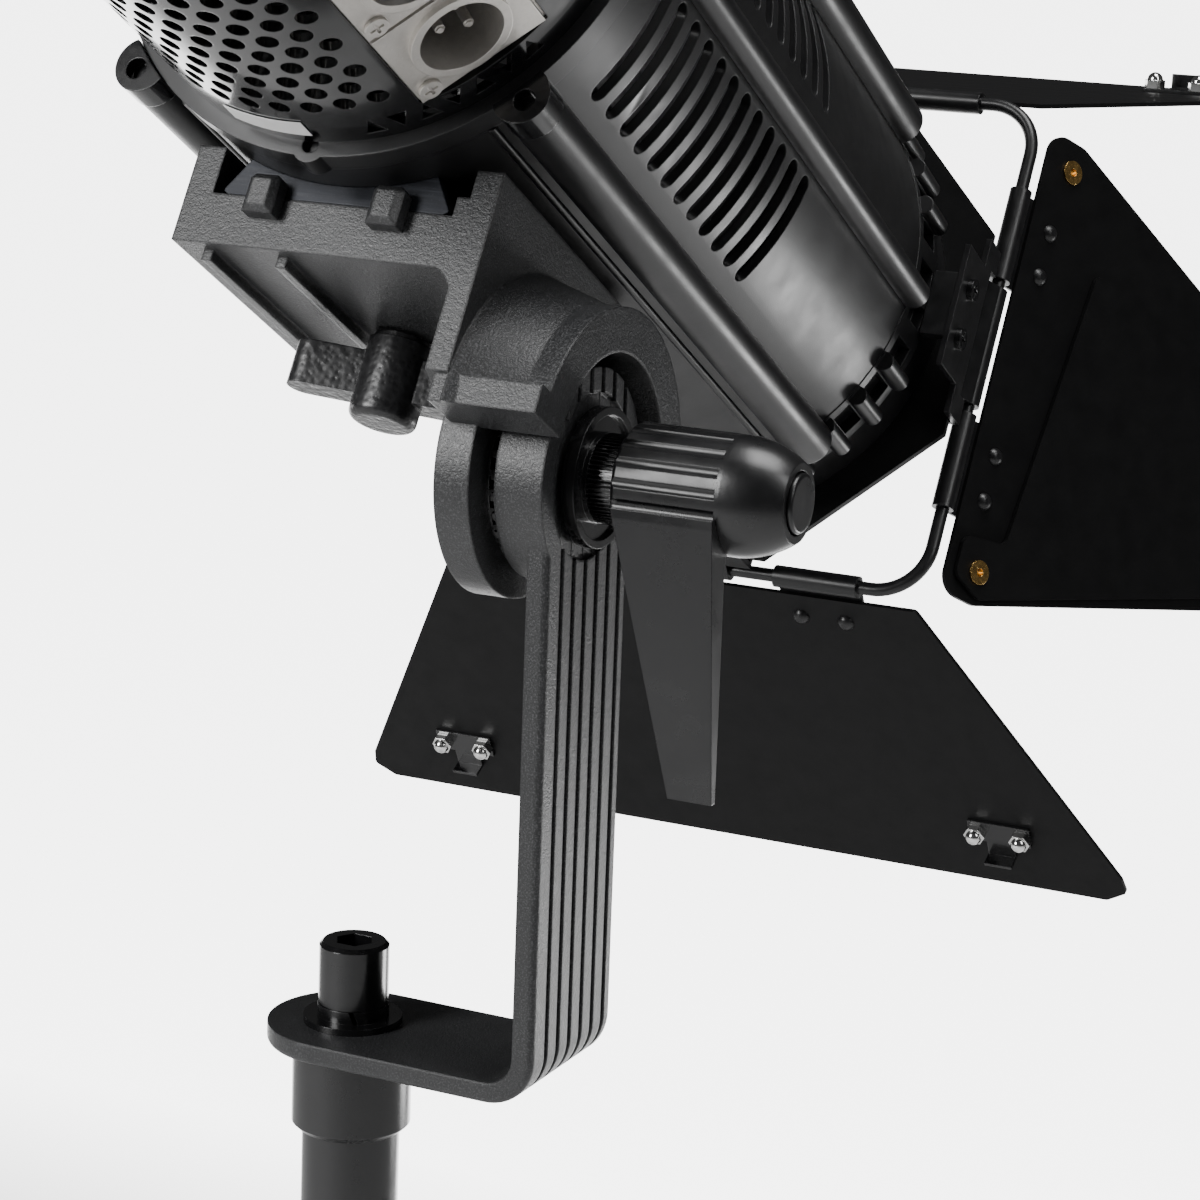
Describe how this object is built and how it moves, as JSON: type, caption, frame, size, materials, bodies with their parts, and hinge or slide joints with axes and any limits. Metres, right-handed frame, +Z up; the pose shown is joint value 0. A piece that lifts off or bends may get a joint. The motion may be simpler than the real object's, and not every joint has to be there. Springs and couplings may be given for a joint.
{
  "type": "led studio spotlight",
  "caption": "Round LED spotlight head with finned housing vents and folding barn door leaves, tilting on a one-sided arm with a light stand socket.",
  "frame": {"origin": "centre of the mouth of the stand socket", "axes": "+Z up along the stand socket, +X along the tilt axis towards the lever, +Y the way the light points"},
  "size_m": [0.272, 0.4334, 0.406],
  "materials": {
    "casting_paint": "sandy charcoal powder coat",
    "housing_paint": "satin black",
    "cap_gloss": "gloss black",
    "leaf_paint": "matt black, fine grain",
    "wire_paint": "satin black",
    "black_steel": "gloss black plated",
    "lever_plastic": "moulded black",
    "knob_plastic": "leather grain black",
    "rail_metal": "dark blue-grey anodised",
    "nickel": "satin nickel",
    "insert_plastic": "black moulded",
    "brass": "polished",
    "chrome": "polished",
    "rosette_metal": "worn plated teeth",
    "glass": "clear pressed glass",
    "sink_metal": "mill finish",
    "led_board": "phosphor on white board",
    "circuit": "green board",
    "fan_plastic": "black moulded"
  },
  "bodies": {
    "arm": {"stand_socket": "black_steel", "socket_cap_screw": "black_steel", "socket_washers": "black_steel", "side_arm": "casting_paint", "arm_rosette": "rosette_metal"},
    "lock_screw": {"lock_screw": "black_steel"},
    "bracket": {"clamp_bracket": "casting_paint", "bracket_rosette": "rosette_metal", "pivot_bolt": "black_steel", "stop_lugs": "casting_paint", "clamp_jaw": "rail_metal"},
    "clamp_knob": {"clamp_knob": "knob_plastic", "clamp_stud": "black_steel"},
    "tilt_lever": {"lever_collar": "black_steel", "lever_hub": "lever_plastic", "lever_blade": "lever_plastic"},
    "lever_button": {"lever_button": "lever_plastic"},
    "head": {"dovetail_rail": "rail_metal", "housing_shell": "housing_paint", "tie_tubes": "housing_paint", "tube_screws": "cap_gloss", "rear_rim": "housing_paint", "rear_cap": "cap_gloss", "connector_plate": "nickel", "data_inlet": "nickel", "data_outlet": "nickel", "connector_inserts": "insert_plastic", "inlet_pins": "nickel", "connector_screws": "nickel", "front_ring": "housing_paint", "accessory_clips": "wire_paint", "clip_screws": "black_steel", "fresnel_lens": "glass", "led_module": "led_board", "heat_sink": "sink_metal", "fan_frame": "fan_plastic", "driver_board": "circuit", "door_plate": "leaf_paint", "wire_frame": "wire_paint", "frame_clips": "wire_paint"},
    "fan": {"fan_rotor": "fan_plastic"},
    "dimmer_knob": {"dimmer_knob": "knob_plastic"},
    "top_leaf": {"top_leaf": "leaf_paint", "top_leaf_clips": "wire_paint", "top_leaf_catches": "black_steel", "top_catch_nuts": "chrome"},
    "bottom_leaf": {"bottom_leaf": "leaf_paint", "bottom_leaf_clips": "wire_paint", "bottom_leaf_catches": "black_steel", "bottom_catch_nuts": "chrome"},
    "left_leaf": {"left_leaf": "leaf_paint", "left_leaf_clips": "wire_paint", "left_leaf_eyelets": "brass"},
    "left_wing_a": {"left_leaf_wing_a": "leaf_paint"},
    "left_wing_b": {"left_leaf_wing_b": "leaf_paint"},
    "right_leaf": {"right_leaf": "leaf_paint", "right_leaf_clips": "wire_paint", "right_leaf_eyelets": "brass"},
    "right_wing_a": {"right_leaf_wing_a": "leaf_paint"},
    "right_wing_b": {"right_leaf_wing_b": "leaf_paint"}
  },
  "joints": [
    {"name": "lock_screw_turn", "type": "hinge", "parent": "arm", "child": "lock_screw", "pos_m": [0.015, 0, 0.011], "axis": [1, 0, 0], "range_deg": [-180, 180]},
    {"name": "tilt", "type": "hinge", "parent": "arm", "child": "bracket", "pos_m": [0.03, 0, 0.1965], "axis": [1, 0, 0], "range_deg": [-24, 65]},
    {"name": "clamp_knob_turn", "type": "hinge", "parent": "bracket", "child": "clamp_knob", "pos_m": [0, 0.01365, 0.21166], "axis": [0, 0.5105, 0.8599], "range_deg": [-90, 90]},
    {"name": "lever_turn", "type": "hinge", "parent": "bracket", "child": "tilt_lever", "pos_m": [0.08, 0, 0.1965], "axis": [1, 0, 0], "range_deg": [-110, 110]},
    {"name": "lever_button_press", "type": "slide", "parent": "tilt_lever", "child": "lever_button", "axis": [-1, 0, 0], "range_m": [0, 0.002], "stiffness_N_per_m": 400},
    {"name": "head_slide", "type": "slide", "parent": "bracket", "child": "head", "axis": [0, 0.8599, -0.5105], "range_m": [0, 0.03]},
    {"name": "fan_spin", "type": "hinge", "parent": "head", "child": "fan", "pos_m": [0, 0.021, 0.31022], "axis": [0, 0.8599, -0.5105], "continuous": true},
    {"name": "dimmer_turn", "type": "hinge", "parent": "head", "child": "dimmer_knob", "pos_m": [0, 0.02065, 0.38602], "axis": [0, 0.5105, 0.8599], "range_deg": [-140, 140]},
    {"name": "bottom_leaf_fold", "type": "hinge", "parent": "head", "child": "bottom_leaf", "pos_m": [0, 0.17151, 0.13769], "axis": [-1, 0, 0], "range_deg": [-38, 60]},
    {"name": "right_leaf_fold", "type": "hinge", "parent": "head", "child": "right_leaf", "pos_m": [0.0715, 0.20802, 0.19917], "axis": [0, -0.5105, -0.8599], "range_deg": [-38, 60]},
    {"name": "right_wing_a_swing", "type": "hinge", "parent": "right_leaf", "child": "right_wing_a", "pos_m": [0.07925, 0.18944, 0.14159], "axis": [-0.866, 0.4299, -0.2553], "range_deg": [0, 35]},
    {"name": "right_wing_b_swing", "type": "hinge", "parent": "right_leaf", "child": "right_wing_b", "pos_m": [0.07925, 0.24968, 0.24305], "axis": [0.866, -0.4299, 0.2553], "range_deg": [0, 35]},
    {"name": "top_leaf_fold", "type": "hinge", "parent": "head", "child": "top_leaf", "pos_m": [0, 0.24452, 0.26065], "axis": [1, 0, 0], "range_deg": [-38, 60]},
    {"name": "left_leaf_fold", "type": "hinge", "parent": "head", "child": "left_leaf", "pos_m": [-0.0715, 0.20802, 0.19917], "axis": [0, 0.5105, 0.8599], "range_deg": [-38, 60]},
    {"name": "left_wing_a_swing", "type": "hinge", "parent": "left_leaf", "child": "left_wing_a", "pos_m": [-0.07925, 0.24968, 0.24305], "axis": [0.866, 0.4299, -0.2553], "range_deg": [0, 35]},
    {"name": "left_wing_b_swing", "type": "hinge", "parent": "left_leaf", "child": "left_wing_b", "pos_m": [-0.07925, 0.18944, 0.14159], "axis": [-0.866, -0.4299, 0.2553], "range_deg": [0, 35]}
  ]
}
